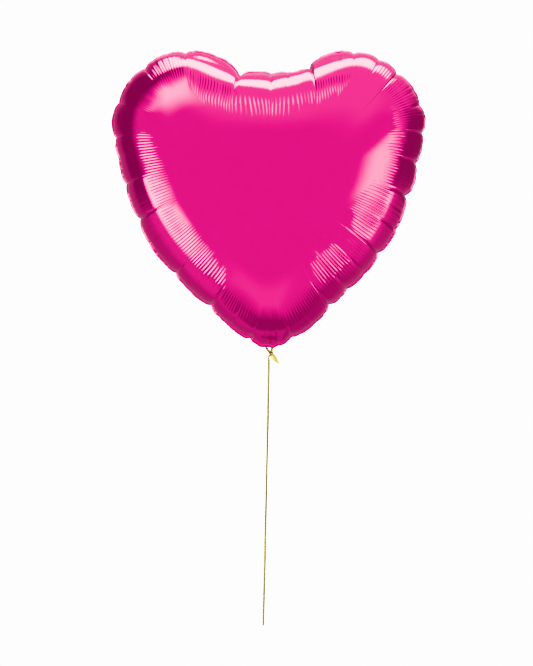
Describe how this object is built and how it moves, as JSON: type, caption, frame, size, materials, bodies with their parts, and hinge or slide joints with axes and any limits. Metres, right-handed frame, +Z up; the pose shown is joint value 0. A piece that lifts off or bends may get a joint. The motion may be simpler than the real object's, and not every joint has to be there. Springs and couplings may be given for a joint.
{
  "type": "heart-shaped foil balloon",
  "caption": "Inflated heart-shaped foil balloon of two sealed panels, its neck folded back and tied with a thin gold curling ribbon that hangs straight down.",
  "frame": {"origin": "lower tip of the heart on the seam plane, where the neck folds backwards", "axes": "+Z up through the heart, -Y towards the front face, +X to the right seen from the front"},
  "size_m": [0.3802, 0.172, 0.6981],
  "materials": {
    "magenta_foil": "polished",
    "valve_film": "satin",
    "gold_ribbon": "satin"
  },
  "bodies": {
    "balloon": {"front_foil_panel": "magenta_foil", "back_foil_panel": "magenta_foil", "valve_front_film": "valve_film", "valve_back_film": "valve_film"},
    "ribbon_tie": {"ribbon_loop": "gold_ribbon", "ribbon_knot": "gold_ribbon", "ribbon_short_end": "gold_ribbon"},
    "ribbon_run": {"ribbon_long_end": "gold_ribbon"}
  },
  "joints": [
    {"name": "ribbon_side_swing", "type": "hinge", "parent": "balloon", "child": "ribbon_tie", "pos_m": [0, 0.012, 0.001], "axis": [0, 1, 0], "range_deg": [-60, 60]},
    {"name": "ribbon_fore_aft_swing", "type": "hinge", "parent": "ribbon_tie", "child": "ribbon_run", "pos_m": [0, 0.012, -0.0079], "axis": [1, 0, 0], "range_deg": [-80, 80]}
  ]
}
